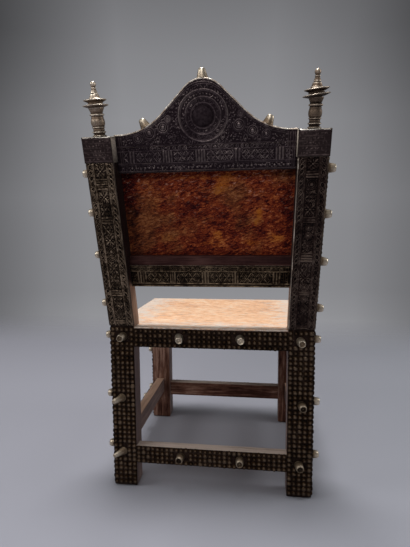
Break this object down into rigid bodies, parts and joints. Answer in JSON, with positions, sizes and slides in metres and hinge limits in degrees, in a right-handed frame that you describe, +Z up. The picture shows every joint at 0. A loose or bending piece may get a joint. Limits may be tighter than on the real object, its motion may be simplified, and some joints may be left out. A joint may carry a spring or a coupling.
{
  "type": "asipim chair",
  "caption": "Low wooden ceremonial chair with a stretched hide seat and leaning back, clad in beaten brass sheet and domed nails, with turned brass finials on the posts.",
  "frame": {"origin": "floor point under the centre of the bounding box", "axes": "+Z up, -Y the way the chair faces, +X the sitter's left"},
  "size_m": [0.4903, 0.5204, 0.8758],
  "materials": {
    "frame_wood": "worn satin, oiled dark hardwood",
    "peg_wood": "matt, end grain",
    "seat_hide": "dry scraped rawhide, streaked",
    "back_hide": "mottled rawhide, satin",
    "sheet_brass": "darkly patinated beaten sheet",
    "nail_brass": "darkly patinated, rubbed bright on the domes",
    "stud_brass": "aged, worn satin"
  },
  "bodies": {
    "root": {"left_rear_post": "frame_wood", "right_rear_post": "frame_wood", "left_front_leg": "frame_wood", "right_front_leg": "frame_wood", "rear_seat_rail": "frame_wood", "front_seat_rail": "frame_wood", "left_seat_rail": "frame_wood", "right_seat_rail": "frame_wood", "rear_stretcher": "frame_wood", "front_stretcher": "frame_wood", "left_stretcher": "frame_wood", "right_stretcher": "frame_wood", "crest_rail": "frame_wood", "lower_back_rail": "frame_wood", "seat_rail_pegs": "peg_wood", "stretcher_pegs": "peg_wood", "back_rail_pegs": "peg_wood", "seat_hide": "seat_hide", "back_hide": "back_hide", "left_post_sheet": "sheet_brass", "right_post_sheet": "sheet_brass", "left_post_cap": "sheet_brass", "right_post_cap": "sheet_brass", "crest_sheet": "sheet_brass", "crest_front_sheet": "sheet_brass", "lower_rail_sheet": "sheet_brass", "lower_rail_front_sheet": "sheet_brass", "left_finial_rod": "stud_brass", "left_finial_baluster": "stud_brass", "left_finial_lower_disc": "stud_brass", "left_finial_collar": "stud_brass", "left_finial_upper_disc": "stud_brass", "left_finial_spire": "stud_brass", "right_finial_rod": "stud_brass", "right_finial_baluster": "stud_brass", "right_finial_lower_disc": "stud_brass", "right_finial_collar": "stud_brass", "right_finial_upper_disc": "stud_brass", "right_finial_spire": "stud_brass", "crest_studs": "stud_brass", "left_side_studs": "stud_brass", "right_side_studs": "stud_brass", "rear_studs": "stud_brass", "front_studs": "stud_brass", "left_rear_post_nails": "nail_brass", "right_rear_post_nails": "nail_brass", "left_front_leg_nails": "nail_brass", "right_front_leg_nails": "nail_brass", "rear_seat_rail_nails": "nail_brass", "front_seat_rail_nails": "nail_brass", "side_seat_rail_nails": "nail_brass", "rear_stretcher_nails": "nail_brass", "front_stretcher_nails": "nail_brass", "side_stretcher_nails": "nail_brass", "back_hide_nails": "nail_brass"}
  },
  "joints": []
}
